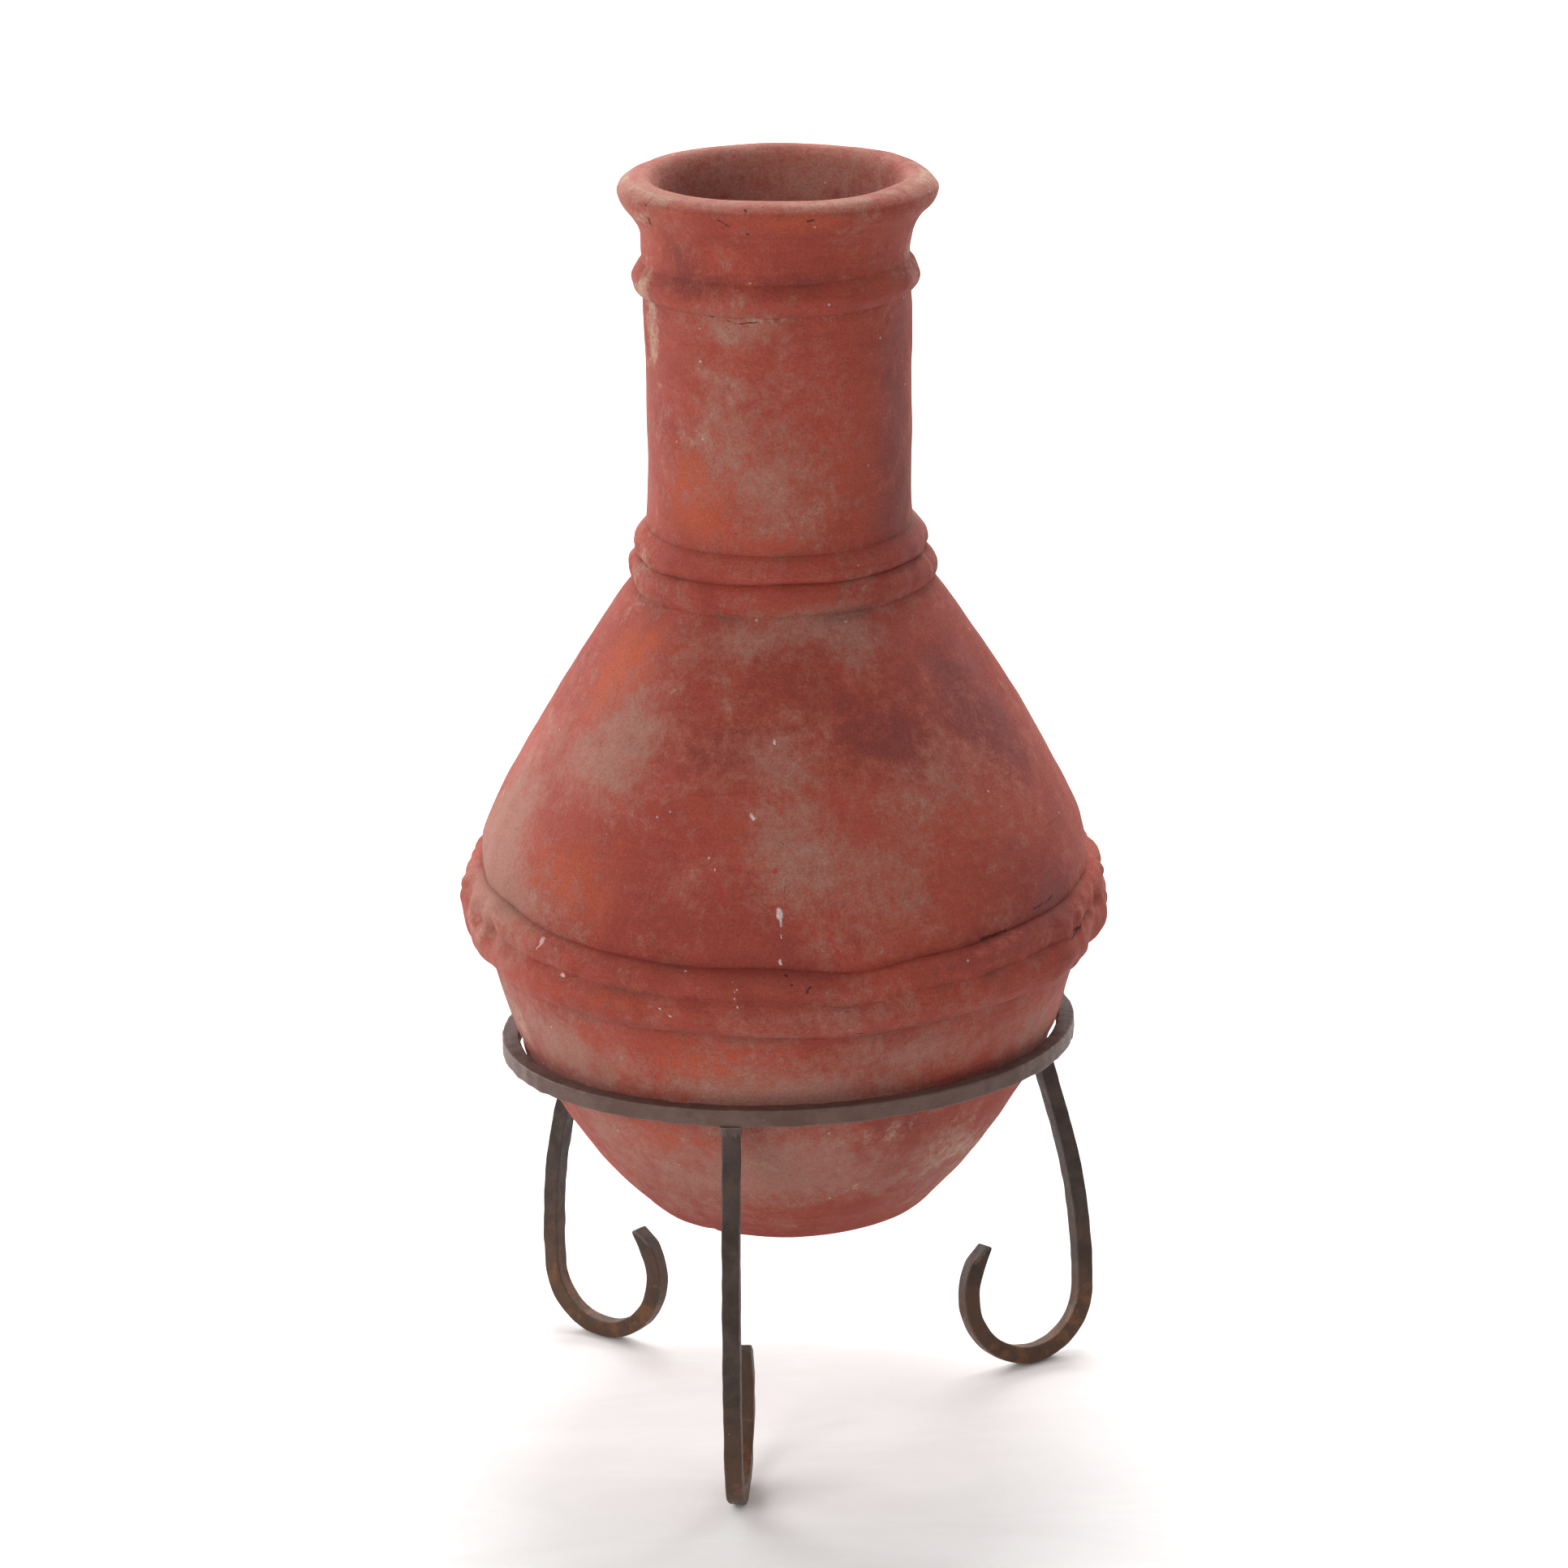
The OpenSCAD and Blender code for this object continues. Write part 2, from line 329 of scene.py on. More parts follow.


# ---------------------------------------------------------------- stains, painted shade and painted highlights on the clay
# Soft patches: degrees round, height, half width, half height, strength
ORANGE = [
    (-38, 684, 30, 34, 1.0), (-52, 576, 34, 30, .8), (-60, 548, 26, 30, .6),
    (-46, 436, 46, 26, 1.0), (-16, 494, 40, 20, .35), (-16, 327, 44, 20, .9),
    (-44, 330, 26, 16, .6), (10, 868, 40, 9, .7), (49, 822, 22, 12, .7), (-39, 828, 20, 10, .4),
    (37, 706, 28, 40, .45), (-29, 261, 50, 22, .7), (0, 655, 40, 12, .5), (-30, 374, 40, 8, .7),
    (20, 610, 50, 12, .4), (130, 520, 70, 60, .8), (-150, 690, 45, 60, .7), (165, 300, 70, 30, .6),
    (-120, 440, 60, 40, .6)]
# Darker patches: partly darker clay, partly painted shade, most of it down the right-hand (+X) side
# turned away from the key light
DARK_AND_SHADE = [
    (62, 745, 26, 70, .8), (62, 672, 22, 40, .7), (-44, 842, 18, 14, .9), (-37, 820, 26, 8, .8),
    (58, 546, 40, 34, .9), (64, 500, 44, 30, .8), (42, 400, 60, 16, .6), (63, 412, 40, 24, .7),
    (6, 413, 40, 12, .5), (5, 545, 50, 26, .5), (-22, 525, 30, 22, .5), (28, 530, 34, 28, .6),
    (26, 270, 26, 10, .8), (-4, 278, 26, 12, .7), (72, 350, 26, 40, .5), (-60, 800, 14, 20, .5),
    (0, 825, 70, 6, .5), (-170, 600, 60, 50, .7), (110, 700, 40, 60, .6), (-110, 560, 50, 50, .5),
    (150, 420, 60, 30, .6)]
# Dusty patches; the last three rows, round the rim top and at its left and right edges, are painted
# highlight from the backlight
DUST_AND_RIM_HIGHLIGHT = [
    (-21, 722, 34, 50, .45), (-4, 690, 34, 40, .4), (8, 603, 36, 12, .9), (-15, 588, 34, 12, .8),
    (27, 588, 26, 12, .7), (-43, 536, 30, 22, .8), (-49, 509, 36, 24, .8), (-1, 476, 28, 34, .8),
    (-7, 527, 30, 14, .6), (-74, 460, 40, 50, 1.0), (-74, 425, 44, 24, .9), (-49, 317, 40, 24, 1.0),
    (-70, 320, 50, 30, 1.0), (-62, 405, 40, 30, .8), (-10, 300, 70, 24, .6), (19, 450, 34, 30, .5),
    (37, 508, 34, 22, .6), (4, 303, 46, 18, 1.0), (-20, 795, 40, 12, .7), (55, 209, 60, 40, .8),
    (-51, 252, 30, 30, .6), (24, 330, 60, 20, .8), (60, 312, 44, 26, .8), (5, 240, 80, 30, 1.1),
    (-35, 215, 50, 40, .7), (4, 372, 60, 12, .6), (100, 640, 40, 60, .8), (-100, 700, 40, 60, .8),
    (170, 760, 60, 50, .8), (-160, 500, 60, 40, .8), (120, 400, 60, 40, .7),
    (-120, 250, 60, 40, .8), (0, 882, 300, 8, 1.3), (-88, 868, 36, 15, 1.1), (90, 869, 34, 13, 1.0)]
# Buff patches: partly dusty clay, partly painted highlight from the backlight in the rows round the rim
# top and down the left and right edges of the neck, rim and body
BEIGE_AND_RIM_HIGHLIGHT = [
    (-66, 817, 14, 16, .7), (-68, 775, 13, 34, 1.0), (78, 828, 16, 18, .9), (74, 812, 14, 10, .8),
    (-62, 859, 14, 8, .6), (50, 225, 40, 32, .9), (-66, 317, 22, 26, .8), (22, 262, 34, 12, .7),
    (-2, 802, 30, 3, .7), (30, 800, 26, 3, .6), (-72, 384, 30, 14, .6), (120, 800, 30, 30, .8),
    (-140, 340, 50, 30, .8), (80, 260, 30, 40, .6), (-70, 640, 14, 60, .5), (0, 881, 300, 5, .9),
    (-92, 868, 30, 13, 1.0), (92, 870, 28, 11, .9)]
# Paint splashes and cracks: degrees and height of both ends, radius
WHITE_MARKS = [
    (-2.2, 536.5, -2.2, 535, 1.0), (-7.2, 493, -6.8, 490.5, 1.3), (-1.2, 438, -1, 434, 1.9),
    (-.9, 433, -.8, 428, 1.0), (-.8, 423, -.8, 421, .5), (-1, 405.5, -.9, 403.5, 1.1),
    (-9.2, 393, -8.8, 386, .5), (-8.9, 383, -8.4, 377, .6), (-48.3, 396, -47.9, 394.5, 1.7),
    (-48, 393, -48.4, 389.5, .6), (-42, 378.5, -41.4, 377.8, .9), (-22, 372, -21.7, 371.5, .6),
    (-20, 368, -19.8, 367.8, .6), (-35, 452, -35, 451.6, .5), (-14, 462, -14, 461.6, .5),
    (-30, 435, -30, 434.7, .5)]
RED_MARKS = [
    (-9, 463.5, -9, 462, 2.2), (-2, 462, -2, 461, 1.6), (-12.8, 453, -11, 434, 1.4),
    (8, 420, 10, 408, 1.3)]
CRACKS = [
    (-12, 877, -11.6, 859, .95), (-54, 871, -57, 857, .7), (10.4, 868.6, 12, 869, .9),
    (70, 862, 77, 852, .7), (38, 400.5, 44, 400, .8), (52, 405.5, 58, 407, .9),
    (0, 397, 1, 392, .8), (4.2, 392, 3.6, 388, .7), (12, 360, 19, 359.4, .5),
    (19, 359.4, 25, 358, .45), (-30, 802, -18, 799, .5), (-16, 799, -8, 799.5, .4),
    (-22, 868, -18, 864, .5), (60, 378, 66, 379, .8), (160, 868, 161, 856, .8),
    (-130, 392, -124, 394, .8)]
STRAW = [
    (17, 216, 21.5, 215.6, .35), (16.6, 215, 18, 220, .35), (16, 214.4, 18.4, 216.4, .3)]
# Grooves round the pot that hold dirt: height, half width, strength
GROOVES = [
    (CREASE - 1, 9, 1.0), (SEAM, 4, 0.6), (SHOULDER - 4, 7, 0.6), (COLLAR + 1, 5, 0.9),
    (NECK + 1, 5, 0.6), (NECK + 20, 5, 0.8), (RIM - 39, 4, 0.7), (RIM - 17, 5, 0.6),
    (RIM + 3, 8, 0.4)]


def patches(p, table):
    angle = around(p)
    total = np.zeros(len(p))
    for where, height, wide, tall, strength in table:
        across = (angle - where + 180) % 360 - 180
        arc = np.radians(across) * np.hypot(p[:, 0], p[:, 1])
        total += strength * np.exp(-(arc / wide) ** 2 - ((p[:, 2] - height) / tall) ** 2)
    return total


def creases(p):
    """Where dirt settles: the grooves beside the rolls and beads."""
    depth = np.zeros(len(p))
    for z, wide, strength in GROOVES:
        lifted = p[:, 2] - (band_rise(around(p), p[:, 2]) if z < COLLAR else 0)
        depth += strength * np.exp(-((lifted - z) / wide) ** 2)
    return depth * (0.6 + 0.35 * LUMP(p * 1.3 + 40) + 0.3 * KNOB(p * 0.7))


def stains_and_painted_light(piece):
    """Stores on every point of a clay piece how much it carries of each of the stains, the painted
    shade and the painted highlight.
    """
    mesh = piece.data
    co = np.zeros(len(mesh.vertices) * 3)
    mesh.vertices.foreach_get("co", co)
    p = co.reshape(-1, 3) / MM
    inside = smooth(6, 10, outer_radius(p[:, 2]) - np.hypot(p[:, 0], p[:, 1]))
    inside = inside * smooth(BASE + 12, BASE + 16, p[:, 2])
    outside = 1 - inside
    soot = inside * smooth(RIM - 20, NECK - 60, p[:, 2]) * (0.9 + 0.12 * LUMP(p))
    from_mouth = np.hypot(p[:, 0], p[:, 2] - MOUTH_MIDDLE) / 70
    soot += 0.75 * smooth(150, 175, p[:, 1]) * smooth(1.25, 0.2, from_mouth) * outside
    # The darker patches hold painted shade besides darker clay; the dusty and buff patches also hold
    # painted highlight round the rim top and at the edges
    values = {
        "orange": patches(p, ORANGE) * outside, "dark": patches(p, DARK_AND_SHADE) * outside,
        "dust_and_highlight": patches(p, DUST_AND_RIM_HIGHLIGHT) * outside + 0.75 * inside, "beige_and_highlight": patches(p, BEIGE_AND_RIM_HIGHLIGHT) * outside,
        "dirt": creases(p) * outside, "soot": soot}
    for name, value in values.items():
        layer = mesh.attributes.new(name, "FLOAT", "POINT")
        layer.data.foreach_set("value", np.clip(value, 0, 1.5).astype(np.float32))


# ---------------------------------------------------------------- shading
class Graph:
    """A material under construction, with short names for the nodes it uses."""

    def __init__(self, name):
        self.material = bpy.data.materials.new(name)
        self.material.use_nodes = True
        self.tree = self.material.node_tree
        self.shader = self.tree.nodes["Principled BSDF"]
        self.place = self.tree.nodes.new("ShaderNodeTexCoord").outputs["Object"]

    def node(self, kind, inputs, **settings):
        made = self.tree.nodes.new("ShaderNode" + kind)
        for key, value in settings.items():
            setattr(made, key, value)
        for key, value in inputs.items():
            self.put(made.inputs[key], value)
        return made

    def put(self, socket, value):
        if isinstance(value, bpy.types.NodeSocket):
            self.tree.links.new(value, socket)
        else:
            socket.default_value = value

    def math(self, operation, a, b=0.0, clamp=False):
        return self.node("Math", {0: a, 1: b}, operation=operation, use_clamp=clamp).outputs[0]

    def add(self, *values):
        total = values[0]
        for value in values[1:]:
            total = self.math("ADD", total, value)
        return total

    def times(self, a, b):
        return self.math("MULTIPLY", a, b)

    def vector(self, operation, inputs, result="Vector"):
        return self.node("VectorMath", inputs, operation=operation).outputs[result]

    def between(self, value, start, end, to=(0.0, 1.0)):
        """Smooth step of value from start to end."""
        inputs = {"Value": value, "From Min": start, "From Max": end, "To Min": to[0], "To Max": to[1]}
        return self.node("MapRange", inputs, interpolation_type="SMOOTHSTEP").outputs["Result"]

    def noise(self, scale, detail=4.0, rough=0.5, warp=0.0, place=None):
        inputs = {
            "Vector": place or self.place, "Scale": scale, "Detail": detail, "Roughness": rough,
            "Distortion": warp}
        return self.node("TexNoise", inputs).outputs["Fac"]

    def cells(self, scale, place=None):
        return self.node("TexVoronoi", {"Vector": place or self.place, "Scale": scale}).outputs

    def stretched(self, x, y, z):
        return self.node("Mapping", {"Vector": self.place, "Scale": (x, y, z)}).outputs["Vector"]

    def mix(self, factor, a, b, blend="MIX"):
        made = self.node("Mix", {}, data_type="RGBA", blend_type=blend)
        for socket, value in zip((made.inputs[0], made.inputs[6], made.inputs[7]), (factor, a, b)):
            self.put(socket, (*value, 1.0) if isinstance(value, tuple) else value)
        return made.outputs[2]

    def attribute(self, name):
        return self.node("Attribute", {}, attribute_name=name).outputs["Fac"]

    def bump(self, height, distance, strength=1.0, under=None):
        inputs = {"Height": height, "Distance": distance, "Strength": strength}
        if under:
            inputs["Normal"] = under
        return self.node("Bump", inputs).outputs["Normal"]

    def marks(self, table, ragged, spot=on_pot):
        """How far inside the nearest of the marks a point lies: 0 off them, 1 on them. Each mark
        runs from one place on the pot to another."""
        nearest = None
        wobble = self.vector("SUBTRACT", {0: ragged, 1: (0.5, 0.5, 0.5)})
        shaken = self.vector("SCALE", {0: wobble, "Scale": 0.003})
        place = self.vector("ADD", {0: self.place, 1: shaken})
        for a0, z0, a1, z1, radius in table:
            ends = [by_hand(spot(a, z)[None])[0] * MM for a, z in ((a0, z0), (a1, z1))]
            start, way = Vector(ends[0]), Vector(ends[1] - ends[0])
            off = self.vector("SUBTRACT", {0: place, 1: start})
            along = self.vector("DOT_PRODUCT", {0: off, 1: way / way.length_squared}, "Value")
            share = self.math("MINIMUM", self.math("MAXIMUM", along, 0.0), 1.0)
            foot = self.vector("SCALE", {0: way, "Scale": share})
            gap = self.vector("DISTANCE", {0: off, 1: foot}, "Value")
            inside = self.between(gap, radius * MM * 1.25, radius * MM * 0.6)
            nearest = inside if nearest is None else self.math("MAXIMUM", nearest, inside)
        return nearest

    def finish(self, colour, roughness, normal, **constants):
        self.put(self.shader.inputs["Base Color"], colour)
        self.put(self.shader.inputs["Roughness"], roughness)
        self.put(self.shader.inputs["Normal"], normal)
        for name, value in constants.items():
            self.shader.inputs[name.replace("_", " ")].default_value = value
        return self.material


BRICK = (0.360, 0.060, 0.036)
BRICK_DEEP = (0.265, 0.042, 0.028)
CLAY_ORANGE = (0.455, 0.086, 0.032)
# Darker red of the clay as it looks in shade, so it paints shade into the colour
CLAY_DARK_IN_SHADE = (0.185, 0.040, 0.034)
CLAY_DUST = (0.345, 0.170, 0.130)
# A buff taken under the backlight, so it paints highlight into the colour
CLAY_BEIGE_BACKLIT = (0.455, 0.300, 0.215)
DIRT = (0.150, 0.072, 0.052)
SOOT = (0.030, 0.024, 0.022)
RED_PAINT = (0.36, 0.035, 0.028)
STRAW_COLOUR = (0.60, 0.44, 0.27)
WHITE_PAINT = (0.70, 0.64, 0.62)
CRACK_DARK = (0.045, 0.022, 0.018)


def clay_material():
    g = Graph("terracotta")
    broad = g.noise(7, 3, 0.55, 0.4)
    cloud = g.noise(19, 7, 0.66, 0.5)
    blotch = g.noise(52, 9, 0.78, 0.4)
    scuff = g.noise(170, 9, 0.85, 0.5, g.stretched(1, 1, 0.75))
    brushed = g.noise(30, 6, 0.7, 0.3, g.stretched(1, 1, 7))
    grain = g.noise(700, 4, 0.8)
    body = g.mix(g.between(g.add(broad, g.times(brushed, 0.5)), 0.55, 0.95), BRICK_DEEP, BRICK)

    layers = ((broad, 0.3), (cloud, 0.5), (blotch, 0.6), (scuff, 0.6))
    mottle = g.add(*(g.between(noise, 0.34, 0.66, (0.0, share)) for noise, share in layers))
    bare = g.math("SUBTRACT", 2.0, mottle)

    def patch(colour, name, unevenness, start, end, most, patch_colour):
        amount = g.add(g.attribute(name), unevenness)
        return g.mix(g.between(amount, start, end, (0.0, most)), colour, patch_colour)

    body = patch(body, "orange", bare, 1.2, 2.3, 0.72, CLAY_ORANGE)
    # Darker clay, and painted shade down the right-hand side
    body = patch(body, "dark", bare, 1.1, 2.2, 0.8, CLAY_DARK_IN_SHADE)
    # Dusty patches, and painted highlight round the rim top
    body = patch(body, "dust_and_highlight", mottle, 0.85, 2.25, 0.8, CLAY_DUST)
    # Buff patches: dusty clay, and painted highlight on the rim top and the side edges
    body = patch(body, "beige_and_highlight", mottle, 1.4, 2.4, 0.8, CLAY_BEIGE_BACKLIT)
    scratch = g.between(g.noise(230, 9, 0.85, 1.0), 0.54, 0.70, (0.0, 0.38))
    body = g.mix(g.times(scratch, g.between(cloud, 0.42, 0.62)), body, CLAY_BEIGE_BACKLIT)
    dirt = g.add(g.attribute("dirt"), g.times(blotch, 1.1))
    body = g.mix(g.between(dirt, 0.85, 2.0, (0.0, 0.46)), body, DIRT)
    pits = g.cells(330)
    pit = g.times(g.between(pits["Distance"], 0.22, 0.10), g.between(g.noise(60, 2), 0.55, 0.66))
    body = g.mix(g.times(pit, 0.55), body, DIRT)
    grainy = g.mix(g.between(grain, 0.3, 0.7), (0.74, 0.71, 0.70), (1.24, 1.28, 1.30))
    body = g.mix(0.8, body, grainy, "MULTIPLY")
    specks = g.cells(120)
    chance = g.node("SeparateColor", {"Color": specks["Color"]}).outputs[0]
    chosen = g.math("GREATER_THAN", chance, 0.955)
    speck = g.times(g.between(specks["Distance"], 0.13, 0.07), chosen)
    ragged = g.node("TexNoise", {"Vector": g.place, "Scale": 260, "Detail": 3.0}).outputs["Color"]
    white = g.math("MAXIMUM", g.marks(WHITE_MARKS, ragged), g.times(speck, 0.7))
    crack = g.marks(CRACKS, ragged)
    body = g.mix(g.times(g.marks(RED_MARKS, ragged), 0.75), body, RED_PAINT)
    body = g.mix(g.times(g.marks(STRAW, ragged), 0.7), body, STRAW_COLOUR)
    splashed = g.times(white, g.between(scuff, 0.38, 0.6, (0.35, 0.9)))
    body = g.mix(splashed, body, WHITE_PAINT)
    body = g.mix(g.times(crack, 0.85), body, CRACK_DARK)
    soot = g.add(g.attribute("soot"), g.times(cloud, 0.5), -0.25)
    body = g.mix(g.between(soot, 0.1, 0.9, (0.0, 0.93)), body, SOOT)
    roughness = g.between(g.add(cloud, g.times(scuff, 0.4)), 0.4, 0.9, (0.66, 0.9))
    fine = g.bump(g.add(g.times(grain, 0.30), g.times(scuff, 0.9), g.times(pit, -1.0)), 0.0009, 0.7)
    worn = g.bump(g.add(blotch, g.times(brushed, 0.9)), 0.0022, 0.6, fine)
    cut = g.bump(g.add(g.times(crack, -1.0), g.times(white, 0.25)), 0.0012, 0.9, worn)
    return g.finish(body, roughness, cut, Specular_IOR_Level=0.28)


RUST = (0.090, 0.045, 0.025)
RUST_ORANGE = (0.19, 0.080, 0.032)
# A grey for worn edges, which also paints a highlight along them
IRON_WORN_AND_HIGHLIGHT = (0.20, 0.165, 0.15)
IRON_FLECK = (0.36, 0.30, 0.27)


def iron_material(name, dark, lift, rust_low, rust_share):
    g = Graph(name)
    cloud = g.noise(38, 6, 0.65, 0.5)
    speckle = g.noise(420, 6, 0.75, 0.6)
    hammered = g.noise(130, 3, 0.5)
    body = g.mix(g.between(cloud, 0.35, 0.68), dark, lift)
    height = g.node("SeparateXYZ", {"Vector": g.place}).outputs["Z"]
    lowness = g.between(height, 0.15, 0.02, (0.0, 0.42))
    rust = g.add(cloud, g.times(speckle, 0.55), lowness)
    body = g.mix(g.between(rust, rust_low, rust_low + 0.34, (0.0, rust_share)), body, RUST)
    orange = g.between(g.add(g.noise(90, 6, 0.7), lowness), 0.90, 1.02, (0.0, 0.5))
    body = g.mix(orange, body, RUST_ORANGE)
    # Paler grey on the bar's rounded corners: edge wear, and a painted highlight along them
    worn = g.between(g.node("NewGeometry", {}).outputs["Pointiness"], 0.515, 0.56, (0.0, 0.35))
    body = g.mix(worn, body, IRON_WORN_AND_HIGHLIGHT)
    dots = g.between(g.cells(260)["Distance"], 0.16, 0.08)
    flecks = g.times(dots, g.between(g.noise(70, 2), 0.62, 0.70))
    body = g.mix(g.times(flecks, 0.5), body, IRON_FLECK)
    roughness = g.between(speckle, 0.3, 0.75, (0.42, 0.72))
    normal = g.bump(g.add(g.times(hammered, 1.0), g.times(speckle, 0.35)), 0.0009, 0.5)
    return g.finish(body, roughness, normal, Metallic=0.1, Specular_IOR_Level=0.25)


def sand_material():
    g = Graph("sand")
    grain = g.cells(620)
    tone = g.node("SeparateColor", {"Color": grain["Color"]}).outputs[0]
    body = g.mix(tone, (0.34, 0.25, 0.15), (0.60, 0.49, 0.33))
    ash = g.add(g.attribute("ash"), g.times(g.noise(26, 6, 0.7), 0.8))
    grey = g.mix(tone, (0.22, 0.21, 0.20), (0.46, 0.45, 0.43))
    body = g.mix(g.between(ash, 0.75, 1.15), body, grey)
    coal = g.between(g.add(g.noise(110, 4, 0.6), g.times(g.attribute("ash"), 0.15)), 0.70, 0.76)
    body = g.mix(coal, body, (0.020, 0.018, 0.017))
    normal = g.bump(g.add(g.times(grain["Distance"], -1.0), g.times(g.noise(90, 5), 1.5)), 0.0012, 0.8)
    return g.finish(body, 0.95, normal, Specular_IOR_Level=0.15)


def floor_material():
    g = Graph("studio_floor")
    streak = g.noise(5, 7, 0.65, 1.2, g.stretched(1, 2.6, 1))
    scuffed = g.between(g.noise(24, 9, 0.8, 2.0), 0.60, 0.72, (0.0, 0.10))
    body = g.mix(g.between(streak, 0.35, 0.7), (0.83, 0.82, 0.815), (0.87, 0.865, 0.86))
    body = g.mix(scuffed, body, (0.60, 0.57, 0.55))
    normal = g.bump(g.noise(60, 6, 0.6), 0.001, 0.25)
    return g.finish(body, 0.6, normal, Specular_IOR_Level=0.2)


clay = clay_material()
ring_iron = iron_material("ring_iron", (0.098, 0.052, 0.041), (0.135, 0.082, 0.067), 0.84, 0.6)
leg_iron = iron_material("leg_iron", (0.038, 0.025, 0.020), (0.068, 0.046, 0.037), 0.84, 0.8)
weld = iron_material("weld_bead", (0.060, 0.038, 0.031), (0.092, 0.062, 0.051), 0.80, 0.7)
sand = sand_material()


# ---------------------------------------------------------------- turned clay pieces
def turned_piece(name, outline, slot="terracotta_roll"):
    piece = make_object(name, *lathe(outline), clay)
    bend_by_hand(piece)
    stains_and_painted_light(piece)
    outward(piece)
    settle(piece, "pot", slot, name)
    return piece


def bowl():
    inside = straight([(204, SEAM - 0.3), (191, SEAM - 0.3)])[:-1]
    hollow = curve([
        (191, SEAM - 0.3), (191, CREASE), (182, RING_TOP + 25), (170, RING_TOP), (145, BASE + 79),
        (133, BASE + 61), (106, BASE + 32), (88, BASE + 20), (70, BASE + 18)], 6)
    floor = straight([(70, BASE + 18), (0, BASE + 18)], 9)[1:]
    under = straight([(0, BASE), (93, BASE)], 9)[:-1]
    side = curve(BOWL_SIDE)
    turned_piece("lower_bowl", np.vstack([under, side, inside, hollow, floor]), "terracotta")


def ring_piece(name, visible, depth, step=2.0):
    """A roll or bead: its visible outline, and a hidden back pressed into the wall behind it."""
    line = curve(visible, step)
    back = [(depth, visible[-1][1]), (depth, visible[0][1])]
    turned_piece(name, np.vstack([line, straight(back, 8)]))


def neck():
    inner = straight([(FLUE, RIM - 0.2), (FLUE, NECK + 0.2)], 5)
    turned_piece("chimney_neck", np.vstack([curve(NECK_SIDE), inner]), "terracotta")


def rim():
    turned_piece("rim_lip", curve(RIM_SIDE, 1.6), "terracotta")


# ---------------------------------------------------------------- upper body and fire mouth
LIP_WIDE = 16
WALL = 14
MOUTH_LOW = low("mouth_lip") + LIP_WIDE
MOUTH_HIGH = high("mouth_lip") - LIP_WIDE
MOUTH_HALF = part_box("mouth_lip")[1].x / MM - LIP_WIDE
LOW_ROUND = 0.3 * (MOUTH_HIGH - MOUTH_LOW)
HIGH_ROUND = 0.64 * (MOUTH_HIGH - MOUTH_LOW)


def mouth_outline(step=3.0):
    """Points (x, z) round the fire mouth, and the way outward at each."""
    corners = [
        (MOUTH_HALF - HIGH_ROUND, MOUTH_HIGH - HIGH_ROUND, HIGH_ROUND, 0),
        (-MOUTH_HALF + HIGH_ROUND, MOUTH_HIGH - HIGH_ROUND, HIGH_ROUND, 90),
        (-MOUTH_HALF + LOW_ROUND, MOUTH_LOW + LOW_ROUND, LOW_ROUND, 180),
        (MOUTH_HALF - LOW_ROUND, MOUTH_LOW + LOW_ROUND, LOW_ROUND, 270)]
    points, ways = [], []
    for i, (cx, cz, radius, start) in enumerate(corners):
        count = int(radius * math.pi / 2 / step)
        a = np.radians(np.linspace(start, start + 90, count))
        way = np.column_stack([np.cos(a), np.sin(a)])
        arc = np.array([cx, cz]) + radius * way
        points.append(arc)
        ways.append(way)
        nx, nz, nr, _ = corners[(i + 1) % 4]
        to = np.array([nx, nz]) + nr * way[-1]
        gap = np.linalg.norm(to - arc[-1])
        inner = max(0, int(gap / step) - 1)
        t = np.linspace(0, 1, inner + 2)[1:-1, None]
        points.append(arc[-1] + (to - arc[-1]) * t)
        ways.append(np.repeat(way[-1:], inner, 0))
    return np.vstack(points), np.vstack(ways)


def shoulder_point(x, z, lift):
    """The point on the mouth's side of the shoulder over (x, z), raised by lift from the clay."""
    radius = outer_radius(z)
    y = np.sqrt(np.maximum(radius**2 - x**2, 1))
    slope = (outer_radius(z + 2) - outer_radius(z - 2)) / 4
    normal = np.column_stack([x / radius, y / radius, -slope])
    normal /= np.linalg.norm(normal, axis=1)[:, None]
    return np.column_stack([x, y, z]) + normal * np.asarray(lift)[:, None]


def cut_mouth(piece):
    points, _ = mouth_outline()
    count = len(points)
    rings = [np.column_stack([points[:, 0], np.full(count, y), points[:, 1]]) for y in (60, 260)]
    cutter_points, faces, _ = sweep(rings)
    cutter = make_object("mouth_cutter", cutter_points, faces, clay)
    outward(cutter)
    cut = piece.modifiers.new("mouth", "BOOLEAN")
    cut.operation = "DIFFERENCE"
    cut.solver = "EXACT"
    cut.object = cutter
    graph = bpy.context.evaluated_depsgraph_get()
    carved = bpy.data.meshes.new_from_object(piece.evaluated_get(graph))
    piece.modifiers.clear()
    piece.data = carved
    bpy.data.objects.remove(cutter)


def upper_body():
    wall_in, wall_down = 12.3, 6.7
    outer = curve(SHOULDER_SIDE)
    collar = straight([(94, COLLAR + 4), (94, NECK - 0.2), (FLUE, NECK - 0.2)], 5)
    inner = curve([(FLUE, NECK - 6), (87, COLLAR - 2)]
                  + [(r - wall_in, z - wall_down) for r, z in SHOULDER_SIDE[-2:1:-1]]
                  + [(191, SHOULDER - 4), (191, SEAM + 10)], 6)
    foot = straight([(191, SEAM), (204, SEAM), (204, SEAM + 16)], 5)
    piece = make_object("upper_body", *lathe(np.vstack([outer, collar, inner, foot])), clay)
    outward(piece)
    cut_mouth(piece)
    bend_by_hand(piece)
    stains_and_painted_light(piece)
    settle(piece, "pot", "terracotta", "upper_body")


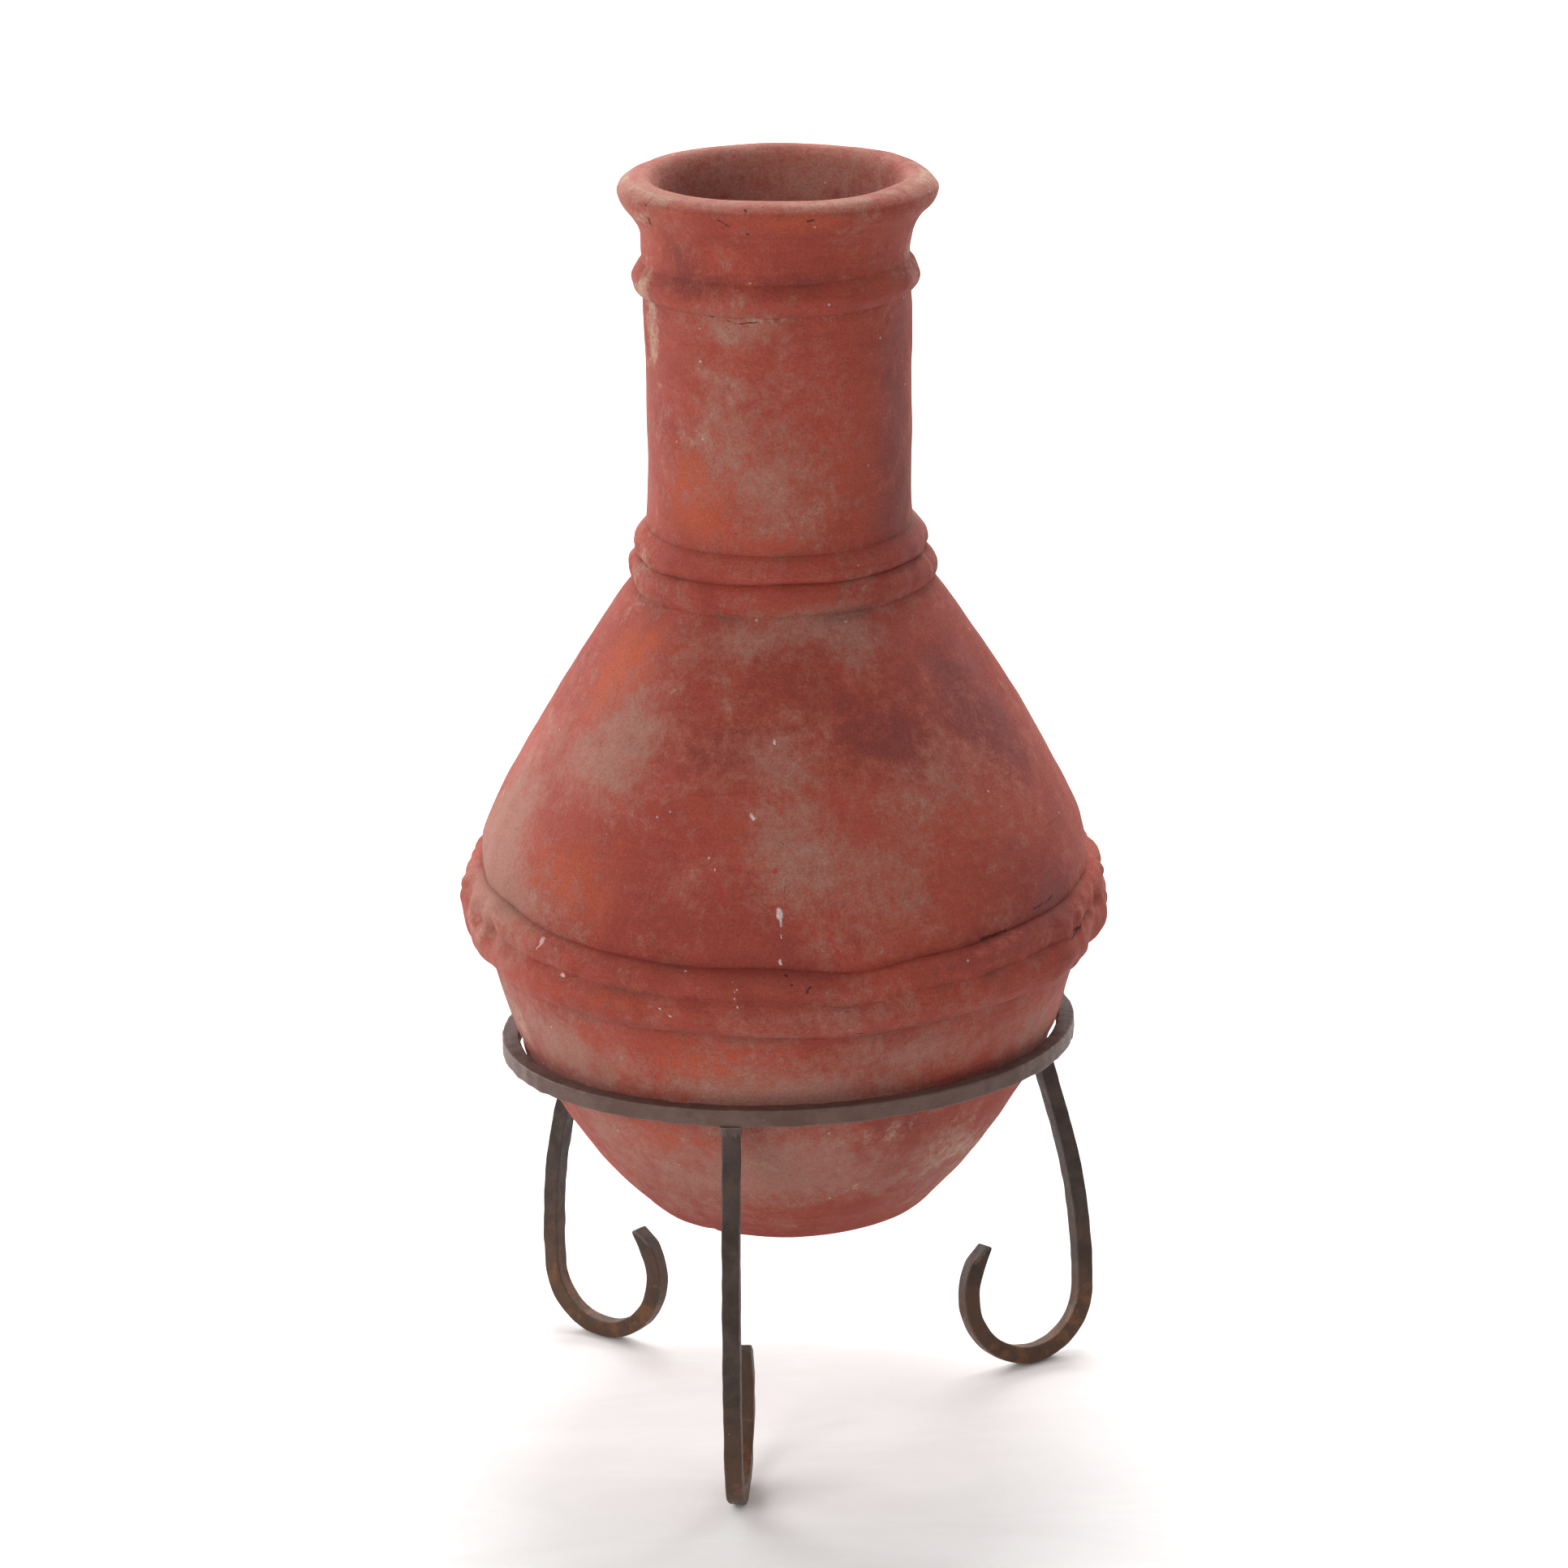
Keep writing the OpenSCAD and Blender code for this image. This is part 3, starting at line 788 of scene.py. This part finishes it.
# Half-round section of the lip: across from the hole's edge, and up from the clay
LIP_SECTION = [
    (-1.6, -WALL - 1.5), (-2.4, -8), (-2.6, -1), (-2.2, 4), (0.2, 9), (4.5, 11.6), (9.2, 10.8),
    (13, 7), (15.4, 2), (16, -1.2)]


def mouth_lip():
    points, ways = mouth_outline()
    section = curve(LIP_SECTION, 1.8)
    back = straight([(14, -3.4), (1.2, -3.4), (1.2, -WALL - 1.5)], 5)
    loop = np.vstack([section, back])
    rings = []
    for (x, z), (wx, wz) in zip(points, ways):
        across, up = loop.T
        rings.append(shoulder_point(x + wx * across, z + wz * across, up))
    skin, faces, _ = sweep(rings, closed=True)
    deep = np.full(len(points), 160)   # well inside the pot
    middle = np.column_stack([points[:, 0], deep, points[:, 1]])
    away = skin - np.repeat(middle, len(loop), 0)
    away /= np.linalg.norm(away, axis=1)[:, None]
    proud = smooth(-4, 4, np.tile(loop[:, 1], len(points)))
    skin += away * (proud * (0.6 * KNOB(skin + 5) + 0.35 * GRIT(skin * 0.6)))[:, None]
    piece = make_object("mouth_lip", skin, faces, clay)
    outward(piece)
    bend_by_hand(piece)
    stains_and_painted_light(piece)
    settle(piece, "pot", "terracotta_roll", "mouth_lip")


# ---------------------------------------------------------------- sand bed
def sand_bed():
    reach = 164
    top = straight([(reach, SAND - 1), (0, SAND - 1)], 3)
    wall = straight([
        (0, BASE + 18.5), (84, BASE + 19.5), (128, BASE + 57), (142, BASE + 78), (reach, SAND - 4)], 9)
    points, faces = lathe(np.vstack([wall, top]), 240)
    radius = np.hypot(points[:, 0], points[:, 1])
    surface = smooth(SAND - 6, SAND - 2, points[:, 2])
    heap = 3 * smooth(120, 160, radius) - 5 * np.exp(-(radius / 70) ** 2)
    points[:, 2] += surface * (heap + 1.3 * LUMP(points) + 0.9 * KNOB(points) + 0.5 * GRIT(points) - 4)
    piece = make_object("sand_bed", points, faces, sand)
    layer = piece.data.attributes.new("ash", "FLOAT", "POINT")
    layer.data.foreach_set("value", (np.exp(-(radius / 85) ** 2)).astype(np.float32))
    outward(piece)
    settle(piece, "pot", "sand", "sand_bed")


# ---------------------------------------------------------------- iron stand
ARRIS = 1.3            # rounding of the bar's edges
SPLAY = 10.3           # how far a leg leans out where it leaves the ring, in degrees
SHANK_BEND = (449, 16.4)   # radius and turn of each leg's slow bend
CURL_TURN = 201            # turn of the curl at its foot
TIP_STRAIGHT = 22          # the unbent end of the bar, past the curl
TIP_LENGTH = 16            # the part of it whose outer side is bevelled
TIP_SLOPE = math.tan(math.radians(24))
RING_TILT = (0.022, 0.080)         # how far the ring is out of level: right side and front side up
RING_SHIFT = (-1.0, -5.4, -2.8)    # and how far its middle stands off its true place
# Each leg: place of its top round the ring, turn of its plane and sideways lean, in degrees, and
# radius of its curl
LEGS = {
    "front": (-11.5, -4.7, -0.6, 49), "left": (-131.9, -123.5, 5.3, 45),
    "right": (119.7, 118, -10.9, 47)}


def bar_section():
    """Points (u, v) round the rounded square section of the bar."""
    half, points = BAR / 2, []
    for _ in range(4):
        for turn in np.linspace(0, 90, 5):
            a = math.radians(turn)
            points.append((half - ARRIS + ARRIS * math.cos(a), half - ARRIS + ARRIS * math.sin(a)))
        side = half - ARRIS
        points += [(side * k, half) for k in (0.9, 0.45, 0, -0.45, -0.9)]
        points = [(v, -u) for u, v in points]
    return np.array(points)


def forged(points, centres, amount=0.16):
    """Hammer marks: moves the points of a bar a little in or out from its middle."""
    out = points - centres
    out /= np.linalg.norm(out, axis=1)[:, None]
    beaten = 0.8 * KNOB(points * 1.3 + 70) + 0.5 * GRIT(points * 0.8) - 0.5
    return points + out * (amount * beaten)[:, None]


def out_of_true(points):
    """Tilts and shifts the top of the true stand the way the real one was made."""
    share = smooth(30, RING_LOW, points[:, 2])[:, None]
    moved = np.tile(RING_SHIFT, (len(points), 1))
    moved[:, 2] += points[:, 0] * RING_TILT[0] - points[:, 1] * RING_TILT[1]
    return points + moved * share


def leg_path(lean, curl):
    """Points down the middle of a leg in its own plane, the way outward at each, and distance."""
    contact = BAR / 2 * (math.cos(lean) + abs(math.sin(lean)))
    splay, slow, quick = (math.radians(a) for a in (SPLAY, SHANK_BEND[1], CURL_TURN))
    drop = SHANK_BEND[0] * (math.sin(splay) - math.sin(splay - slow))
    drop += curl * (1 + math.sin(splay - slow))
    shank = ((RING_LOW - contact) / math.cos(lean) - drop) / math.cos(splay)
    lengths = [shank, SHANK_BEND[0] * slow, curl * quick, TIP_STRAIGHT]
    fine = 0.25
    s = np.arange(0, sum(lengths), fine) + fine / 2
    angle = -splay + slow * np.clip((s - lengths[0]) / lengths[1], 0, 1)
    angle += quick * np.clip((s - lengths[0] - lengths[1]) / lengths[2], 0, 1)
    x = np.concatenate([[0], np.cumsum(-np.sin(angle) * fine)])
    z = np.concatenate([[0], np.cumsum(-np.cos(angle) * fine)])
    s = np.concatenate([[0], s + fine / 2])
    angle = np.concatenate([[-splay], angle])
    stops = np.concatenate([np.arange(0, s[-1] - 1.2, 2.5), [s[-1] - 1.0, s[-1] - 0.3, s[-1]]])
    x, z, angle = (np.interp(stops, s, v) for v in (x, z, angle))
    return x, z, angle, stops


def leg(name):
    top, plane, lean = (math.radians(a) for a in LEGS[name][:3])
    middle = RING_RADIUS + BAR / 2
    to_place = (Matrix.Translation((middle * math.sin(top), -middle * math.cos(top), RING_LOW))
                @ Matrix.Rotation(plane - math.pi / 2, 4, "Z") @ Matrix.Rotation(lean, 4, "X"))
    turn, shift = np.array(to_place.to_3x3()), np.array(to_place.translation)
    section = bar_section()
    rings = []
    x, z, angle, stops = leg_path(lean, LEGS[name][3])
    for cx, cz, a, s in zip(x, z, angle, stops):
        u, v = section.T
        u = np.minimum(u, BAR / 2 - max(0, s - stops[-1] + TIP_LENGTH) * TIP_SLOPE)
        inset = 1 - 0.12 * smooth(stops[-1] - 1.0, stops[-1], s)
        ring = np.column_stack([cx + u * inset * math.cos(a), v * inset, cz - u * inset * math.sin(a)])
        ring = ring @ turn.T + shift
        centre = np.array([cx, 0, cz]) @ turn.T + shift
        rings.append(forged(ring, centre))
    rings[0][:, 2] = RING_LOW + 0.2
    points, faces, caps = sweep(rings)
    points[:, 2] = np.maximum(points[:, 2], 0)
    piece = make_object("leg_" + name, out_of_true(points), faces, leg_iron, caps)
    outward(piece)
    settle(piece, "stand", "iron", "leg_" + name)
    return to_place


def leg_weld(name, to_place):
    """The fillet weld round the top of a leg: a square cone with the ripples of the torch."""
    turn, shift = np.array(to_place.to_3x3()), np.array(to_place.translation)
    a = np.linspace(0, 2 * math.pi, 72, endpoint=False)
    square = 1 / (np.abs(np.cos(a)) ** 5 + np.abs(np.sin(a)) ** 5) ** 0.2
    rings = []
    for share in np.linspace(0, 1, 9):
        half = BAR / 2 + 0.1 + 1.7 * share**1.9 + 0.35 * math.sin(math.pi * share)
        ripple = 0.28 * np.sin(a * 15 + 2.5 * share) * math.sin(math.pi * min(1, share * 1.4 + 0.1))
        depth = -7.5 * (1 - share)
        slide = -depth * math.tan(math.radians(SPLAY))
        across = square * (half + ripple)
        ring = np.column_stack([across * np.cos(a) + slide, across * np.sin(a), np.full(len(a), depth)])
        ring[:, :2] += 0.22 * np.column_stack([KNOB(ring * 3 + len(name)), KNOB(ring * 3 - 20)])
        rings.append(ring @ turn.T + shift)
    rings[-1][:, 2] = RING_LOW + 0.25
    points, faces, caps = sweep(rings)
    piece = make_object("weld_" + name, out_of_true(points), faces, weld, caps)
    outward(piece)
    settle(piece, "stand", "weld", "weld_" + name)


def support_ring():
    middle = RING_RADIUS + BAR / 2
    section = bar_section()
    rings = []
    for a in np.linspace(0, 2 * math.pi, 600, endpoint=False):
        out = np.array([math.sin(a), -math.cos(a), 0])
        centre = out * middle + np.array([0, 0, (RING_LOW + RING_TOP) / 2])
        ring = centre + section[:, :1] * out + section[:, 1:] * np.array([0, 0, 1.0])
        rings.append(forged(ring, centre, 0.2))
    points, faces, _ = sweep(rings, closed=True)
    piece = make_object("support_ring", out_of_true(points), faces, ring_iron)
    outward(piece)
    settle(piece, "stand", "iron", "support_ring")


def butt_weld():
    """The bead that closes the ring, over its outer face and underside."""
    lo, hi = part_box("ring_butt_weld")
    centre = (lo + hi) / 2 / MM
    where = math.atan2(centre.x, -centre.y)
    out = np.array([math.sin(where), -math.cos(where), 0])
    along = np.array([math.cos(where), math.sin(where), 0])
    outer = RING_RADIUS + BAR
    path = straight([(outer, RING_TOP - 0.6), (outer, RING_LOW), (RING_RADIUS + 1, RING_LOW)], 0.9)
    rings = []
    for i, (radius, z) in enumerate(path):
        share = i / (len(path) - 1)
        half = 4.2 * math.sin(math.pi * (0.08 + 0.84 * share)) ** 0.4
        face = np.array([1.0, 0.0]) if z > RING_LOW + 0.2 else np.array([0.0, -1.0])
        if abs(radius - outer) < 0.3 and z < RING_LOW + 0.6:
            face = np.array([0.7, -0.7])
        ring = []
        for t in np.linspace(0, 2 * math.pi, 20, endpoint=False):
            lift = 1.05 * math.sin(t) + (0.12 * math.cos(i * 1.9) if math.sin(t) > 0 else 0)
            side = half * math.cos(t) + 0.25 * math.sin(i * 0.9)
            r, height = radius + face[0] * lift, z + face[1] * lift
            ring.append(out * r + along * side + np.array([0, 0, height]))
        rings.append(np.array(ring))
    points, faces, caps = sweep(rings)
    piece = make_object("ring_butt_weld", out_of_true(points), faces, weld, caps)
    outward(piece)
    settle(piece, "stand", "weld", "ring_butt_weld")


# ---------------------------------------------------------------- studio
CAMERA_PLACE = (-0.0009, -3.179, 1.564)
CAMERA_TILT = 70.78      # up from straight down, in degrees
CAMERA_ROLL = -1.0
CAMERA_LENS = 113.53     # focal length for a sensor 36 mm wide
SKY = 0.39               # strength of the even light all round
FLOOR_REACH = 14


def area_light(name, place, aim, size, power, colour=(1, 1, 1)):
    light = bpy.data.lights.new(name, "AREA")
    light.shape = "RECTANGLE"
    light.size, light.size_y = size
    light.energy = power
    light.color = colour
    lamp = bpy.data.objects.new(name, light)
    bpy.context.scene.collection.objects.link(lamp)
    lamp.location = place
    lamp.rotation_euler = (Vector(aim) - Vector(place)).to_track_quat("-Z", "Y").to_euler()
    lamp.visible_camera = False


def studio():
    camera = bpy.data.cameras.new("camera")
    camera.lens = CAMERA_LENS
    camera.sensor_width = 36
    holder = bpy.data.objects.new("camera", camera)
    bpy.context.scene.collection.objects.link(holder)
    holder.matrix_world = (Matrix.Translation(CAMERA_PLACE)
                           @ Matrix.Rotation(math.radians(CAMERA_TILT), 4, "X")
                           @ Matrix.Rotation(math.radians(CAMERA_ROLL), 4, "Z"))
    bpy.context.scene.camera = holder
    bpy.context.scene.view_settings.view_transform = "Standard"
    world = bpy.data.worlds.new("studio")
    world.use_nodes = True
    world.node_tree.nodes["Background"].inputs[0].default_value = (1.0, 1.0, 1.0, 1)
    world.node_tree.nodes["Background"].inputs[1].default_value = SKY
    bpy.context.scene.world = world
    belly = (0, 0, 0.45)
    area_light("key_left", (-1.9, -2.6, 1.9), belly, (1.8, 1.8), 54, (1.0, 0.985, 0.97))
    area_light("back_left", (-2.1, 1.5, 1.1), belly, (1.6, 2.4), 52)
    area_light("back_right", (2.2, 1.6, 1.1), belly, (1.6, 2.4), 28)
    area_light("back_top", (0.1, 0.95, 2.6), (0, 0, 0.88), (1.3, 0.8), 46)
    area_light("sweep", (0, 5.2, 3.2), (0, 5.4, 0), (6, 4), 390)
    floor = bpy.data.meshes.new("floor")
    corners = [(FLOOR_REACH * x, FLOOR_REACH * y, 0) for x, y in ((-1, -1), (1, -1), (1, 1), (-1, 1))]
    floor.from_pydata(corners, [], [(0, 1, 2, 3)])
    ground = bpy.data.objects.new("floor", floor)
    ground.data.materials.append(floor_material())
    bpy.context.scene.collection.objects.link(ground)


studio()
bowl()
ring_piece("belly_roll_lower", LOWER_ROLL, 203)
ring_piece("belly_roll_upper", UPPER_ROLL, 203)
upper_body()
mouth_lip()
ring_piece("collar_bead_lower", COLLAR_LOW, 93)
ring_piece("collar_bead_upper", COLLAR_HIGH, 87)
neck()
ring_piece("neck_bead", THIN_BEAD, 86.5, 1.6)
rim()
sand_bed()
support_ring()
butt_weld()
for leg_name in LEGS:
    leg_weld(leg_name, leg(leg_name))
